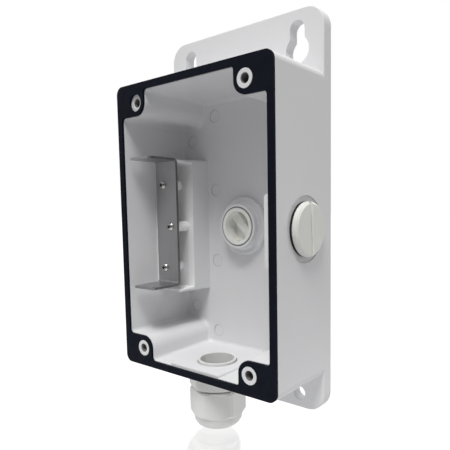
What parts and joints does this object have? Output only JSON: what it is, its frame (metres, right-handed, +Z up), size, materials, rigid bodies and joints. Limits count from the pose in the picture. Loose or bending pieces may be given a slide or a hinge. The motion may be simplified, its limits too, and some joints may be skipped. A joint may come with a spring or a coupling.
{
  "type": "camera junction box",
  "caption": "Open wall-mounted camera junction box with a keyhole back plate, rubber rim gasket, inner steel bracket, threaded port plugs and a cable gland below.",
  "frame": {"origin": "centre of the rear cable port on the wall face of the back plate", "axes": "+X to the right as seen from the front, +Y into the wall, out of the back plate's flat rear face, +Z up along the plate's length"},
  "size_m": [0.1281, 0.0578, 0.2524],
  "materials": {
    "white_coat": "white powder coat, satin, faintly textured, on a die-cast aluminium housing",
    "gasket_rubber": "flat navy-black sealing rubber",
    "bracket_steel": "mill-finished stainless sheet",
    "screw_steel": "bright stainless",
    "plug_plastic": "warm white nylon, fine matte",
    "seal_rubber": "black sealing rubber",
    "gland_plastic": "off-white nylon, slightly glossy"
  },
  "bodies": {
    "box": {"housing": "white_coat", "gasket": "gasket_rubber", "bracket": "bracket_steel", "bracket_screws": "screw_steel", "gland_body": "gland_plastic", "gland_washer": "seal_rubber", "gland_seal": "seal_rubber"},
    "side_plug_seal": {"side_plug_seal": "seal_rubber"},
    "side_plug": {"side_plug": "plug_plastic"},
    "rear_plug_seal": {"rear_plug_seal": "seal_rubber"},
    "rear_plug": {"rear_plug": "plug_plastic"},
    "gland_claw": {"gland_claw": "gland_plastic"},
    "gland_nut": {"gland_nut": "gland_plastic"}
  },
  "joints": [
    {"name": "side_plug_travel", "type": "slide", "parent": "box", "child": "side_plug_seal", "axis": [1, 0, 0], "range_m": [0, 0.0075]},
    {"name": "side_plug_turn", "type": "hinge", "parent": "side_plug_seal", "child": "side_plug", "pos_m": [0.0628, -0.0282, 0], "axis": [1, 0, 0], "range_deg": [0, 1800]},
    {"name": "rear_plug_travel", "type": "slide", "parent": "box", "child": "rear_plug_seal", "axis": [0, 1, 0], "range_m": [0, 0.0075]},
    {"name": "rear_plug_turn", "type": "hinge", "parent": "rear_plug_seal", "child": "rear_plug", "pos_m": [0, -0.0027, 0], "axis": [0, 1, 0], "range_deg": [0, 1800]},
    {"name": "gland_travel", "type": "slide", "parent": "box", "child": "gland_claw", "axis": [0, 0, -1], "range_m": [0, 0.0045]},
    {"name": "gland_nut_turn", "type": "hinge", "parent": "gland_claw", "child": "gland_nut", "pos_m": [0, -0.035, -0.113], "axis": [0, 0, -1], "range_deg": [0, 1080]}
  ],
  "couplings": [
    {"joint": "side_plug_travel", "follows": "side_plug_turn", "m_per_rad": 0.00023873},
    {"joint": "rear_plug_travel", "follows": "rear_plug_turn", "m_per_rad": 0.00023873},
    {"joint": "gland_travel", "follows": "gland_nut_turn", "m_per_rad": 0.00023873}
  ]
}
